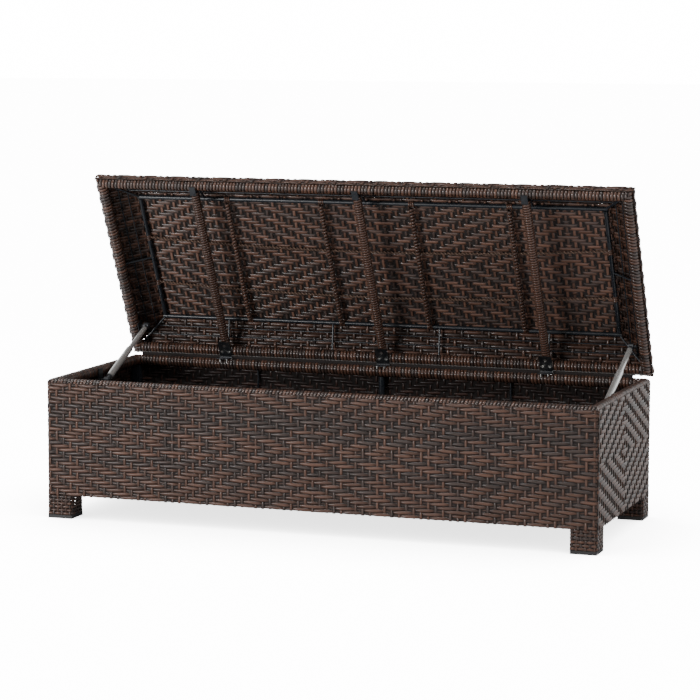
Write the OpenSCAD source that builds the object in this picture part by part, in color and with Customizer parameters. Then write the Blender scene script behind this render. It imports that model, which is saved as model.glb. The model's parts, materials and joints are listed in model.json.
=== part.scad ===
// Woven storage table: a wicker box on four short legs with a lift-up wicker lid.
// X runs along the table, Y runs from front to rear, Z is up from the floor.
// The lid is drawn open, which is where its two struts hold it.

/* [Overall size] */
// Length of the table
table_w = 1270; // [1250:1:1300]
// Depth of the table, front to rear
table_d = 478; // [460:1:490]
// Height of the top of the box rim
rim_top = 316.4; // [305:0.1:330]
// Height of the lower edge of the woven sides
side_foot = 53; // [50:1:60]
// Thickness of a woven side
side_t = 5; // [4:0.5:5]

/* [Legs] */
// Width of a woven leg
leg_w = 60; // [50:1:65]
// Height of the plastic foot cap below the weave
foot_h = 8; // [6:1:12]
// Width of the square steel posts and bottom rails
post_w = 20; // [15:1:20]
// Wall of every steel tube
tube_wall = 1.2; // [1:0.1:2]

/* [Rims] */
// Outer radius of the wicker wrapped round a rim
wrap_r = 12.7; // [12:0.1:13]
// Radius of the steel tube inside a rim
rail_r = 9.5; // [8:0.5:10]

/* [Lid] */
// Angle of the open lid above the closed one
lid_open = 63.4; // [60:0.1:66]
// Height of the closed lid's underside above the floor
lid_z = 319.4; // [319.3:0.1:320]
// Height of the lid's outer edge above its underside
edge_h = 28.4; // [26:0.1:30]
// Height of the flat top above the lid's underside
top_h = 67; // [62:1:70]
// Width of the sloping border
border_w = 72; // [70:1:73]
// Thickness of the woven lid
lid_t = 4; // [3:0.5:5]

/* [Lid frame] */
// Radius of the inner frame rods
rod_r = 5; // [4:0.5:5]
// Distance of the long frame rods from the front and rear edges
long_rod_m = 74.5; // [74:0.5:80]
// Distance of the short frame rods from the lid's ends
short_rod_m = 78; // [76:1:90]
// Distance of the outer cross bars from the middle
bar_x = 393; // [380:1:400]
// Outer radius of a wrapped cross bar
bar_r = 10; // [8:0.5:10]
// Distances of the thin front-to-rear rods from the middle
thin_x = [108, 338];
// Radius of a wrapped thin rod
thin_r = 5; // [4:0.5:5.5]
// Distances of the two cords' ends from the lid's rear edge
cord_v = [172, 295];
// Radius of a cord
cord_r = 3; // [2:0.5:3]
// How far the middle of a cord hangs out of line
cord_bow = 22; // [0:1:30]

/* [Hinges] */
// Distance of the hinge line from the front face
hinge_y = 475; // [474:0.5:476]
// Height of the hinge line
hinge_z = 317.85; // [317.7:0.05:318]
// Width of a hinge
hinge_w = 30; // [26:1:36]
// Radius of a hinge knuckle
knuckle_r = 4; // [3:0.5:4]
// Radius of a hinge pin
pin_r = 2; // [1.5:0.25:2.5]
// Thickness of a hinge leaf
leaf_t = 1.25; // [1:0.05:1.3]
// Length of the leaf on the box, from the hinge line
box_leaf = 26; // [24:1:30]
// Length of the leaf on the lid, from the hinge line
lid_leaf = 42; // [40:1:50]

/* [Struts] */
// Distance of the struts from the middle
strut_x = 592; // [590:1:594]
// Lower pivot: distance from the front face and height
strut_low = [231, 285.5];
// Upper pivot: distance from the lid's rear edge and height above its underside
strut_up = [71.5, 16.5];
// Radius of a strut cylinder
cyl_r = 7.75; // [7:0.25:8]
// Radius of a strut rod
ram_r = 5.9; // [4:0.1:6]
// Distance from the lower pivot to the open end of the cylinder
cyl_end = 140; // [130:1:142]

/* [Hidden] */
$fn = 48;
gap = 0.1;              // between neighbours that only meet
fit = 0.05;             // running clearance on a radius
half_w = table_w / 2;
rim_z = rim_top - wrap_r;
rail_in = rail_r - tube_wall;
rail_in_z = side_foot + 4;
floor_z = rail_in_z + post_w + gap;
floor_t = 4;
frame_in = side_t + 2 * gap;
slope = (top_h - edge_h) / (border_w - 1);
drop = lid_t * sqrt(1 + slope * slope);
rod_n = top_h - lid_t - gap - rod_r;
cord_n = top_h - lid_t - 5 * gap - cord_r;
thin_n = cord_n - cord_r - gap - thin_r;
bar_n = bar_r + 2 * gap;
wire_r = 1.5;
spacer_r = 2.5;
spacer_x = [-bar_x, -bar_x / 3, bar_x / 3, bar_x];
front_spacer_x = [-bar_x, 0, bar_x];
cross_x = [-bar_x, 0, bar_x];
screw_x = 8.4;
box_screw_y = hinge_y - 18;
lid_screw_y = [table_d - 18, table_d - 34.6];
knuckle_gap = 0.3;
lid_screw_r = 3.7;
stud_r = 3;
eye_r = 7;
eye_t = 12;
plate_x = half_w - 2 * wrap_r - 2.4;

// how far back the open lid reaches at its edge or its top, which centres the footprint on the origin
function reach(y, n) = hinge_y + (y - hinge_y) * cos(lid_open) + (lid_z + n - hinge_z) * sin(lid_open);
rear_reach = max(reach(table_d - 1, edge_h), reach(table_d - border_w, top_h));
shift_y = -rear_reach / 2;

// the upper strut pivot, about the hinge, in the closed and the open lid
up_y = table_d - strut_up[0] - hinge_y;
up_z = lid_z + strut_up[1] - hinge_z;
strut_dy = hinge_y + up_y * cos(lid_open) + up_z * sin(lid_open) - strut_low[0];
strut_dz = hinge_z - up_y * sin(lid_open) + up_z * cos(lid_open) - strut_low[1];
strut_len = norm([strut_dy, strut_dz]);
strut_tilt = atan2(strut_dz, strut_dy);

wicker = "#5b4437";
black = "#1b1c1e";
silver = "#b9babc";

// ---- places ----

module box_part() translate([0, shift_y, 0]) children();

// children stand on the closed lid's underside, y from the front face
module lid_part()
    translate([0, shift_y + hinge_y, hinge_z])
        rotate([-lid_open, 0, 0])
            translate([0, -hinge_y, lid_z - hinge_z])
                children();

// children lie along +Y from the lower pivot, +X towards the table's end
module strut_part(side)
    translate([side * strut_x, shift_y + strut_low[0], strut_low[1]])
        rotate([strut_tilt, 0, 0])
            mirror([side < 0 ? 1 : 0, 0, 0])
                children();

// ---- shapes ----

module x_rod(x0, x1, y, z, r) translate([x0, y, z]) rotate([0, 90, 0]) cylinder(r = r, h = x1 - x0);

module y_rod(y0, y1, x, z, r) translate([x, y0, z]) rotate([-90, 0, 0]) cylinder(r = r, h = y1 - y0);

module z_rod(z0, z1, x, y, r) translate([x, y, z0]) cylinder(r = r, h = z1 - z0);

module rod_between(a, b, r) {
    d = b - a;
    translate(a)
        rotate([0, acos(d[2] / norm(d)), atan2(d[1], d[0])])
            cylinder(r = r, h = norm(d));
}

module box_at(x, y, z) translate([x[0], y[0], z[0]]) cube([x[1] - x[0], y[1] - y[0], z[1] - z[0]]);

// plan of one mitred side of a rectangle: side 0 front, 1 rear, 2 left, 3 right
module mitre_plan(side, depth) {
    w = half_w - gap;
    d = table_d / 2 - gap;
    translate([0, table_d / 2])
        if (side < 2)
            mirror([0, side, 0])
                polygon([[-w, -d - gap], [w, -d - gap], [w - depth, depth - d - gap], [depth - w, depth - d - gap]]);
        else
            mirror([3 - side, 0, 0])
                polygon([[w + gap, -d], [w + gap, d], [w + gap - depth, d - depth], [w + gap - depth, depth - d]]);
}

module mitred(side, depth, z0, z1)
    intersection() {
        translate([0, 0, z0]) linear_extrude(z1 - z0) mitre_plan(side, depth);
        children();
    }

// one straight run of a round rim, hollow, at height z
module rim_run(side, z, r, hole)
    mitred(side, 2 * wrap_r, z - wrap_r, z + wrap_r)
        difference() {
            if (side < 2) {
                y = side == 0 ? wrap_r : table_d - wrap_r;
                difference() {
                    x_rod(-half_w, half_w, y, z, r);
                    x_rod(-half_w - 1, half_w + 1, y, z, hole);
                }
            } else {
                x = (side == 2 ? -1 : 1) * (half_w - wrap_r);
                difference() {
                    y_rod(0, table_d, x, z, r);
                    y_rod(-1, table_d + 1, x, z, hole);
                }
            }
        }

module square_tube(x, y, z)
    difference() {
        box_at(x, y, z);
        t = tube_wall;
        along_x = x[1] - x[0] > post_w + 1;
        along_y = y[1] - y[0] > post_w + 1;
        along_z = z[1] - z[0] > post_w + 1;
        box_at(x + (along_x ? [-1, 1] : [t, -t]), y + (along_y ? [-1, 1] : [t, -t]),
               z + (along_z ? [-1, 1] : [t, -t]));
    }

// four copies at the corners, from one drawn at the front left corner
module at_corners()
    for (mx = [0, 1], my = [0, 1])
        translate([0, table_d / 2, 0])
            mirror([mx, 0, 0])
                mirror([0, my, 0])
                    translate([0, -table_d / 2, 0])
                        children();

// tube swept along a row of points
module sweep(pts, r, sides) {
    n = len(pts);
    heading = [for (i = [0 : n - 1]) pts[min(i + 1, n - 1)] - pts[max(i - 1, 0)]];
    ring = [for (i = [0 : n - 1])
        let (u = [-heading[i][1], heading[i][0], 0] / norm([heading[i][0], heading[i][1]]))
            [for (k = [0 : sides - 1]) pts[i] + r * (cos(360 * k / sides) * u + [0, 0, sin(360 * k / sides)])]];
    walls = [for (i = [0 : n - 2], k = [0 : sides - 1])
        let (a = i * sides + k, b = i * sides + (k + 1) % sides) [a, b, b + sides, a + sides]];
    first = [for (k = [sides - 1 : -1 : 0]) k];
    last = [for (k = [0 : sides - 1]) (n - 1) * sides + k];
    polyhedron(points = [for (c = ring, p = c) p], faces = concat(walls, [first, last]), convexity = 4);
}

// ---- box: woven sides and floor ----

module long_side(y) box_part() box_at([-half_w, half_w], y, [side_foot, rim_z - wrap_r - gap]);

module short_side(x)
    box_part() box_at(x, [side_t + gap, table_d - side_t - gap], [side_foot, rim_z - wrap_r - gap]);

module front_panel() color(wicker) long_side([0, side_t]);

module rear_panel() color(wicker) long_side([table_d - side_t, table_d]);

module left_panel() color(wicker) short_side([-half_w, side_t - half_w]);

module right_panel() color(wicker) short_side([half_w - side_t, half_w]);

module floor_panel()
    color(wicker)
        box_part()
            difference() {
                box_at([frame_in - half_w, half_w - frame_in], [frame_in, table_d - frame_in],
                       [floor_z, floor_z + floor_t]);
                at_corners() post_core(gap);
            }

// ---- box: steel frame ----

module post_core(grow)
    translate([frame_in - half_w - grow, frame_in - grow, foot_h])
        cube([post_w + 2 * grow, post_w + 2 * grow, rim_z - rail_r - gap - foot_h]);

module corner_posts()
    color(black)
        box_part()
            at_corners()
                square_tube([frame_in - half_w, frame_in + post_w - half_w], [frame_in, frame_in + post_w],
                            [foot_h, rim_z - wrap_r - gap]);

module top_rail(side) color(black) box_part() rim_run(side, rim_z, rail_r, rail_in);

module bottom_rail_long(y)
    color(black)
        box_part()
            square_tube([frame_in + post_w + gap - half_w, half_w - frame_in - post_w - gap], y,
                        [rail_in_z, rail_in_z + post_w]);

module bottom_rail_short(x)
    color(black)
        box_part()
            square_tube(x, [frame_in + post_w + gap, table_d - frame_in - post_w - gap],
                        [rail_in_z, rail_in_z + post_w]);

module bottom_rail_front() bottom_rail_long([frame_in, frame_in + post_w]);

module bottom_rail_rear() bottom_rail_long([table_d - frame_in - post_w, table_d - frame_in]);

module bottom_rail_left() bottom_rail_short([frame_in - half_w, frame_in + post_w - half_w]);

module bottom_rail_right() bottom_rail_short([half_w - frame_in - post_w, half_w - frame_in]);

module floor_bars()
    color(black)
        box_part()
            for (x = [-half_w / 2, 0, half_w / 2])
                square_tube([x - post_w / 2, x + post_w / 2],
                            [frame_in + post_w + gap, table_d - frame_in - post_w - gap],
                            [rail_in_z, rail_in_z + post_w]);

module rear_uprights()
    color(black)
        box_part() {
            middle_r = 7;
            side_r = 2.5;
            z = [floor_z + floor_t + gap, rim_z - wrap_r - gap];
            z_rod(z[0], z[1], 0, table_d - frame_in - middle_r, middle_r);
            for (x = [-310, 310])
                z_rod(z[0], z[1], x, table_d - frame_in - side_r, side_r);
        }

// ---- box: rims, legs and feet ----

module rim_wrap(side) color(wicker) box_part() rim_run(side, rim_z, wrap_r, rail_r + gap);

module leg_wraps()
    color(wicker)
        box_part()
            at_corners()
                translate([-half_w, 0, foot_h])
                    difference() {
                        cube([leg_w, leg_w, side_foot - foot_h - gap]);
                        translate([side_t, side_t, -1]) cube([leg_w - 2 * side_t, leg_w - 2 * side_t, side_foot]);
                    }

module foot_caps()
    color(black)
        box_part()
            at_corners()
                difference() {
                    union() {
                        translate([1 - half_w, 1, 0]) cube([leg_w - 2, leg_w - 2, foot_h - gap]);
                        translate([side_t + gap - half_w, side_t + gap, 0])
                            cube([leg_w - 2 * (side_t + gap), leg_w - 2 * (side_t + gap), foot_h + 12]);
                    }
                    post_core(gap);
                }

// ---- hinges ----

module leaf_hole(y, x) translate([x, y, -1]) cylinder(r = lid_screw_r - leaf_t - 0.2, h = 2 + leaf_t);

// countersunk screw, its head flush with z = 0 and its point towards -Z
module screw(length) {
    shank_r = lid_screw_r - leaf_t - 0.3;
    translate([0, 0, -leaf_t]) cylinder(r1 = shank_r, r2 = lid_screw_r, h = leaf_t);
    translate([0, 0, -length]) cylinder(r = shank_r, h = length - leaf_t + 0.01);
}

module screw_seat() {
    translate([0, 0, -leaf_t]) cylinder(r1 = lid_screw_r - leaf_t - 0.2, r2 = lid_screw_r + 0.1, h = leaf_t);
    translate([0, 0, -2 * leaf_t]) cylinder(r = lid_screw_r - leaf_t - 0.2, h = 4 * leaf_t);
}

// screw places on the box leaf and on the lid leaf
module at_box_screws()
    for (x = [-screw_x, screw_x])
        translate([x, box_screw_y, rim_top + leaf_t / 25 + leaf_t])
            children();

module at_lid_screws() {
    for (x = [-screw_x, screw_x])
        translate([x, lid_screw_y[0], -gap - leaf_t]) rotate([180, 0, 0]) children();
    translate([0, lid_screw_y[1], -gap - leaf_t]) rotate([180, 0, 0]) children();
}

module hinge_box_leaves()
    color(black)
        box_part()
            for (x = cross_x)
                translate([x, 0, 0])
                    difference() {
                        union() {
                            box_at([-hinge_w / 2, hinge_w / 2], [hinge_y - box_leaf, hinge_y],
                                   [rim_top + leaf_t / 25, rim_top + leaf_t / 25 + leaf_t]);
                            for (s = [-1, 1])
                                x_rod(min(s * hinge_w / 6, s * hinge_w / 2), max(s * hinge_w / 6, s * hinge_w / 2),
                                      hinge_y, hinge_z, knuckle_r);
                        }
                        box_at([-hinge_w / 6, hinge_w / 6], [hinge_y - knuckle_r - knuckle_gap, hinge_y + 10],
                               [hinge_z - 10, hinge_z + 10]);
                        x_rod(-hinge_w, hinge_w, hinge_y, hinge_z, pin_r + fit / 2);
                        at_box_screws() screw_seat();
                    }

module hinge_pins()
    color(silver)
        box_part()
            for (x = cross_x)
                x_rod(x - hinge_w / 2 - 0.5, x + hinge_w / 2 + 0.5, hinge_y, hinge_z, pin_r);

module box_hinge_screws()
    color(silver)
        box_part()
            for (x = cross_x)
                translate([x, 0, 0]) at_box_screws() screw(12);

module hinge_lid_leaves()
    color(black)
        lid_part()
            for (x = cross_x)
                translate([x, 0, 0])
                    difference() {
                        union() {
                            box_at([-hinge_w / 2, hinge_w / 2], [hinge_y - lid_leaf, hinge_y],
                                   [-gap - leaf_t, -gap]);
                            x_rod(knuckle_gap - hinge_w / 6, hinge_w / 6 - knuckle_gap,
                                  hinge_y, hinge_z - lid_z, knuckle_r);
                        }
                        for (s = [-1, 1])
                            box_at(s < 0 ? [-hinge_w, knuckle_gap - hinge_w / 6] : [hinge_w / 6 - knuckle_gap, hinge_w],
                                   [hinge_y - knuckle_r - knuckle_gap, hinge_y + 10], [-10, 10]);
                        x_rod(-hinge_w, hinge_w, hinge_y, hinge_z - lid_z, pin_r + fit);
                        at_lid_screws() screw_seat();
                    }

module lid_hinge_screws()
    color(silver)
        lid_part()
            for (x = cross_x)
                translate([x, 0, 0]) at_lid_screws() screw(10);

// ---- lid: rim, woven top and border ----

module lid_rail(side) color(black) lid_part() rim_run(side, wrap_r, rail_r, rail_in);

module lid_wrap(side) color(wicker) lid_part() rim_run(side, wrap_r, wrap_r, rail_r + gap);

module lid_field()
    color(wicker)
        lid_part()
            box_at([border_w + gap - half_w, half_w - border_w - gap], [border_w + gap, table_d - border_w - gap],
                   [top_h - lid_t, top_h]);

// one sloping side, drawn as its section from the lid's edge inwards
module border_section(run)
    rotate([90, 0, 90])
        linear_extrude(run, center = true)
            polygon([[1, edge_h - drop], [1, edge_h], [border_w, top_h], [border_w, top_h - drop]]);

module lid_border(side)
    color(wicker)
        lid_part()
            mitred(side, border_w, 0, top_h + 1)
                if (side < 2)
                    translate([0, table_d / 2, 0]) mirror([0, side, 0])
                        translate([0, -table_d / 2, 0]) border_section(2 * table_w);
                else
                    translate([0, table_d / 2, 0]) mirror([side - 2, 0, 0])
                        translate([-half_w, 0, 0]) rotate([0, 0, -90]) border_section(2 * table_w);

// ---- lid: steel frame under the weave ----

module lid_frame_long_rods()
    color(black)
        lid_part()
            for (y = [long_rod_m, table_d - long_rod_m])
                x_rod(short_rod_m - rod_r - half_w, half_w - short_rod_m + rod_r, y, rod_n, rod_r);

module lid_frame_short_rods()
    color(black)
        lid_part()
            for (x = [short_rod_m - half_w, half_w - short_rod_m])
                y_rod(long_rod_m + rod_r + gap, table_d - long_rod_m - rod_r - gap, x, rod_n, rod_r);

module lid_bars()
    color(black)
        lid_part()
            for (x = cross_x)
                difference() {
                    y_rod(2 * wrap_r + gap, table_d - 2 * wrap_r - gap, x, bar_n, bar_r - 3);
                    y_rod(0, table_d, x, bar_n, bar_r - 3 - tube_wall);
                }

module lid_bar_wraps()
    color(wicker)
        lid_part()
            for (x = cross_x)
                difference() {
                    y_rod(2 * wrap_r + 3, table_d - 2 * wrap_r - 3, x, bar_n, bar_r);
                    y_rod(0, table_d, x, bar_n, bar_r - 3 + gap);
                }

module lid_bar_clips()
    color(black)
        lid_part()
            for (x = cross_x)
                box_at([x - 7.5, x + 7.5], [wrap_r - 2, 2 * wrap_r + 8], [-gap - leaf_t, -gap]);

module lid_thin_rods()
    color(wicker)
        lid_part()
            for (x = thin_x, s = [-1, 1])
                y_rod(long_rod_m + rod_r + gap, table_d - long_rod_m - rod_r - gap, s * x, thin_n, thin_r);

module lid_cords()
    color(wicker)
        lid_part()
            for (v = cord_v) {
                half_span = half_w - short_rod_m - rod_r - gap;
                step = half_span / 20;
                sweep([for (i = [-20 : 20])
                           [i * step, table_d - v + cord_bow * (1 - pow(i / 20, 2)), cord_n]],
                      cord_r, 8);
            }

// straight rod from the rim's shoulder to a frame rod, running inwards along +Y at x
module spacer(x)
    difference() {
        rod_between([x, wrap_r + 4, wrap_r + 9.2], [x, long_rod_m, rod_n], spacer_r);
        x_rod(x - 10, x + 10, wrap_r, wrap_r, wrap_r + gap);
        x_rod(x - 10, x + 10, long_rod_m, rod_n, rod_r + gap);
    }

module end_spacer()
    difference() {
        rod_between([wrap_r + 4 - half_w, table_d / 2, wrap_r + 9.2], [short_rod_m - half_w, table_d / 2, rod_n],
                    spacer_r);
        y_rod(table_d / 2 - 10, table_d / 2 + 10, wrap_r - half_w, wrap_r, wrap_r + gap);
        y_rod(table_d / 2 - 10, table_d / 2 + 10, short_rod_m - half_w, rod_n, rod_r + gap);
    }

module lid_spacers()
    color(black)
        lid_part() {
            for (x = front_spacer_x) spacer(x);
            translate([0, table_d, 0]) mirror([0, 1, 0]) for (x = spacer_x) spacer(x);
            for (s = [0, 1]) mirror([s, 0, 0]) end_spacer();
        }

module lid_corner_braces()
    color(black)
        lid_part()
            at_corners()
                difference() {
                    rod_between([2 * wrap_r - half_w - 4, 2 * wrap_r - 4, wrap_r + 6],
                                [short_rod_m - half_w, long_rod_m, rod_n - 1], spacer_r);
                    x_rod(-half_w, 0, wrap_r, wrap_r, wrap_r + gap);
                    y_rod(0, table_d, wrap_r - half_w, wrap_r, wrap_r + gap);
                    x_rod(short_rod_m - rod_r - gap - half_w, 0, long_rod_m, rod_n, rod_r + gap);
                    y_rod(long_rod_m, table_d, short_rod_m - half_w, rod_n, rod_r + gap);
                }

// thin wires that lie against the underside of the border, two to each side
function wire_n(m) = edge_h - drop + (m - 1) * slope - (wire_r + gap) * sqrt(1 + slope * slope);

module lid_border_wires()
    color(black)
        lid_part()
            for (m = [34, 52]) {
                for (y = [m, table_d - m])
                    x_rod(m - half_w, half_w - m, y, wire_n(m), wire_r);
                for (x = [m - half_w, half_w - m])
                    y_rod(m + wire_r + gap, table_d - m - wire_r - gap, x, wire_n(m), wire_r);
            }

// ---- struts and their brackets ----

module strut_lower_brackets()
    color(black)
        box_part()
            for (s = [0, 1])
                mirror([s, 0, 0]) {
                    plate = [strut_low[0] - 12, strut_low[0] + 12];
                    box_at([plate_x, plate_x + 2.2], plate, [strut_low[1] - 11, rim_z + 8]);
                    x_rod(strut_x - eye_t / 2 - 2.5, plate_x, strut_low[0], strut_low[1], stud_r);
                    x_rod(strut_x - eye_t / 2 - 2.5, strut_x - eye_t / 2 - 0.5, strut_low[0], strut_low[1],
                          stud_r + 2);
                }

// the upper stud stops short of the strut's head, so this pivot is left open
module strut_upper_brackets()
    color(black)
        lid_part()
            for (s = [0, 1])
                mirror([s, 0, 0]) {
                    y = table_d - strut_up[0];
                    box_at([plate_x, plate_x + 2.2], [y - 11, y + 11], [3, 26]);
                    x_rod(strut_x + eye_t / 2 + 0.5, plate_x, y, strut_up[1], stud_r + 1);
                }

module strut_cylinder(side)
    color(silver)
        strut_part(side)
            difference() {
                y_rod(16, cyl_end, 0, 0, cyl_r);
                y_rod(22, cyl_end + 1, 0, 0, ram_r + fit);
            }

module strut_foot(side)
    color(black)
        strut_part(side)
            difference() {
                union() {
                    x_rod(-eye_t / 2, eye_t / 2, 0, 0, eye_r);
                    y_rod(0, 16 - gap, 0, 0, eye_t / 2 - 1);
                }
                x_rod(-eye_t, eye_t, 0, 0, stud_r + fit);
            }

module strut_rod(side)
    color(silver)
        strut_part(side)
            y_rod(cyl_end - 42, strut_len - 14, 0, 0, ram_r);

module strut_head(side)
    color(black)
        strut_part(side)
            union() {
                x_rod(-eye_t / 2, eye_t / 2, strut_len, 0, eye_r);
                y_rod(strut_len - 14 + gap, strut_len, 0, 0, eye_t / 2 - 1);
            }

front_panel();
rear_panel();
left_panel();
right_panel();
floor_panel();
corner_posts();
top_rail(0);  // top_rail_front
top_rail(1);  // top_rail_rear
top_rail(2);  // top_rail_left
top_rail(3);  // top_rail_right
bottom_rail_front();
bottom_rail_rear();
bottom_rail_left();
bottom_rail_right();
floor_bars();
rear_uprights();
rim_wrap(0);  // rim_wrap_front
rim_wrap(1);  // rim_wrap_rear
rim_wrap(2);  // rim_wrap_left
rim_wrap(3);  // rim_wrap_right
leg_wraps();
foot_caps();
hinge_box_leaves();
hinge_pins();
box_hinge_screws();
strut_lower_brackets();
lid_rail(0);  // lid_rail_front
lid_rail(1);  // lid_rail_rear
lid_rail(2);  // lid_rail_left
lid_rail(3);  // lid_rail_right
lid_wrap(0);  // lid_wrap_front
lid_wrap(1);  // lid_wrap_rear
lid_wrap(2);  // lid_wrap_left
lid_wrap(3);  // lid_wrap_right
lid_field();
lid_border(0);  // lid_border_front
lid_border(1);  // lid_border_rear
lid_border(2);  // lid_border_left
lid_border(3);  // lid_border_right
lid_frame_long_rods();
lid_frame_short_rods();
lid_bars();
lid_bar_wraps();
lid_thin_rods();
lid_cords();
lid_spacers();
lid_corner_braces();
lid_border_wires();
lid_bar_clips();
hinge_lid_leaves();
lid_hinge_screws();
strut_upper_brackets();
strut_cylinder(-1);  // strut_cylinder_left
strut_cylinder(1);  // strut_cylinder_right
strut_foot(-1);  // strut_foot_left
strut_foot(1);  // strut_foot_right
strut_rod(-1);  // strut_rod_left
strut_rod(1);  // strut_rod_right
strut_head(-1);  // strut_head_left
strut_head(1);  // strut_head_right
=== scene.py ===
# Wicker storage table: the finished look over the fixed frame.
import json
import math
import random
import bmesh
import bpy
import numpy as np
from mathutils import Matrix, Vector


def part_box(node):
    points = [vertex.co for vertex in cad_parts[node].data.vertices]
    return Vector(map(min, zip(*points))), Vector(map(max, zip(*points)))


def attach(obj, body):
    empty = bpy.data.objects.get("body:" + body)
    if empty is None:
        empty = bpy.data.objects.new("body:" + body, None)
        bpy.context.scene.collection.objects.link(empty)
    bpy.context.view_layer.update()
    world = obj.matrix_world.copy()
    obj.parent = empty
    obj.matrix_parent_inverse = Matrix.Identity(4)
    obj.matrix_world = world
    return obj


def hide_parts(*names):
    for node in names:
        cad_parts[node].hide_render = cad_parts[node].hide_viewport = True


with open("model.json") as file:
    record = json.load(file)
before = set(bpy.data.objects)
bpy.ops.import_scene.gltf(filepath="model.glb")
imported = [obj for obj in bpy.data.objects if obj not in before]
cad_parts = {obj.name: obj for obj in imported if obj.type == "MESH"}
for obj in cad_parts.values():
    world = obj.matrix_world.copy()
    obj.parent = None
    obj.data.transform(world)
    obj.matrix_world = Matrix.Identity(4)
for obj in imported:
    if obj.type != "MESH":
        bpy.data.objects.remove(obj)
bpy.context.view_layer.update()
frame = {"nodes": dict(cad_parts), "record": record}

mm = 0.001
dice = random.Random(11)
scene = bpy.context.scene

# ---- places, all read from the frame ----
frontLow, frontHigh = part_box("front_panel")
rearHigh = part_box("rear_panel")[1]
frontY, rearY, halfW = frontLow.y, rearHigh.y, frontHigh.x
middleY = (frontY + rearY) / 2
depth = rearY - frontY
sideFoot = frontLow.z
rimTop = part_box("rim_wrap_front")[1].z
tubeR = 12.7 * mm       # radius of the wrapped rim tubes
hinge = frame["record"]["behaviour"]["joints"][0]
hingeAt = Vector(hinge["pos_m"])
openAngle = math.radians(hinge["range_deg"][1])
# turns a piece drawn on the closed lid to where the open lid is
lidTurn = Matrix.Translation(hingeAt) @ Matrix.Rotation(-openAngle, 4, "X") @ Matrix.Translation(-hingeAt)
print("places read, table", round(2 * halfW, 3), "by", round(depth, 3))

# ---- camera ----
cameraSettings = {
    "spot": (1.97425, -5.60169, 1.11602),
    "azimuth": 19.445,
    "elevation": 6.939,
    "roll": 0.112,
    "lens": 137.155,
    "shiftY": -0.0096,
}


def placeCamera(s):
    turn, tilt = math.radians(s["azimuth"]), math.radians(s["elevation"])
    back = Vector((math.sin(turn) * math.cos(tilt), -math.cos(turn) * math.cos(tilt), math.sin(tilt)))
    lens = bpy.data.cameras.new("camera")
    lens.lens = s["lens"]
    lens.sensor_width = 36
    lens.shift_y = s["shiftY"]
    lens.clip_end = 50
    cam = bpy.data.objects.new("camera", lens)
    scene.collection.objects.link(cam)
    facing = back.to_track_quat("Z", "Y").to_matrix() @ Matrix.Rotation(math.radians(s["roll"]), 3, "Z")
    cam.matrix_world = Matrix.Translation(s["spot"]) @ facing.to_4x4()
    scene.camera = cam


placeCamera(cameraSettings)
print("camera placed")


# ---- shader helpers ----
def newGroup(name, takes, gives):
    group = bpy.data.node_groups.new(name, "ShaderNodeTree")
    for label, kind, value in takes:
        socket = group.interface.new_socket(name=label, in_out="INPUT", socket_type=kind)
        socket.default_value = value
    for label, kind in gives:
        group.interface.new_socket(name=label, in_out="OUTPUT", socket_type=kind)
    return group, group.nodes.new("NodeGroupInput"), group.nodes.new("NodeGroupOutput")


def addNode(tree, kind, **values):
    node = tree.nodes.new(kind)
    for key, value in values.items():
        setattr(node, key, value)
    return node


def plug(tree, source, target):
    tree.links.new(source, target)


def maths(tree, job, first, second=None, third=None, clamp=False):
    node = addNode(tree, "ShaderNodeMath", operation=job, use_clamp=clamp)
    for spot, value in enumerate((first, second, third)):
        if value is None:
            continue
        if isinstance(value, (int, float)):
            node.inputs[spot].default_value = value
        else:
            plug(tree, value, node.inputs[spot])
    return node.outputs[0]


def spread(tree, value, fromLow, fromHigh, toLow, toHigh):
    node = addNode(tree, "ShaderNodeMapRange")
    plug(tree, value, node.inputs["Value"])
    limits = {"From Min": fromLow, "From Max": fromHigh, "To Min": toLow, "To Max": toHigh}
    for label, number in limits.items():
        node.inputs[label].default_value = number
    return node.outputs["Result"]


def mixColour(tree, factor, first, second, blend="MIX"):
    node = addNode(tree, "ShaderNodeMix", data_type="RGBA", blend_type=blend)
    for spot, value in ((0, factor), (6, first), (7, second)):
        if isinstance(value, (int, float, tuple)):
            node.inputs[spot].default_value = value
        else:
            plug(tree, value, node.inputs[spot])
    return node.outputs[2]


def grain(tree, vector, scale, detail=3.0, rough=0.5):
    node = addNode(tree, "ShaderNodeTexNoise")
    node.inputs["Scale"].default_value = scale
    node.inputs["Detail"].default_value = detail
    node.inputs["Roughness"].default_value = rough
    if vector is not None:
        plug(tree, vector, node.inputs["Vector"])
    return node.outputs["Fac"]


def stretched(tree, vector, scale):
    node = addNode(tree, "ShaderNodeVectorMath", operation="MULTIPLY")
    plug(tree, vector, node.inputs[0])
    node.inputs[1].default_value = scale
    return node.outputs[0]


def newMaterial(name):
    mat = bpy.data.materials.new(name)
    mat.use_nodes = True
    tree = mat.node_tree
    tree.nodes.clear()
    shader = tree.nodes.new("ShaderNodeBsdfPrincipled")
    end = tree.nodes.new("ShaderNodeOutputMaterial")
    plug(tree, shader.outputs[0], end.inputs[0])
    return mat, tree, shader


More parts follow.
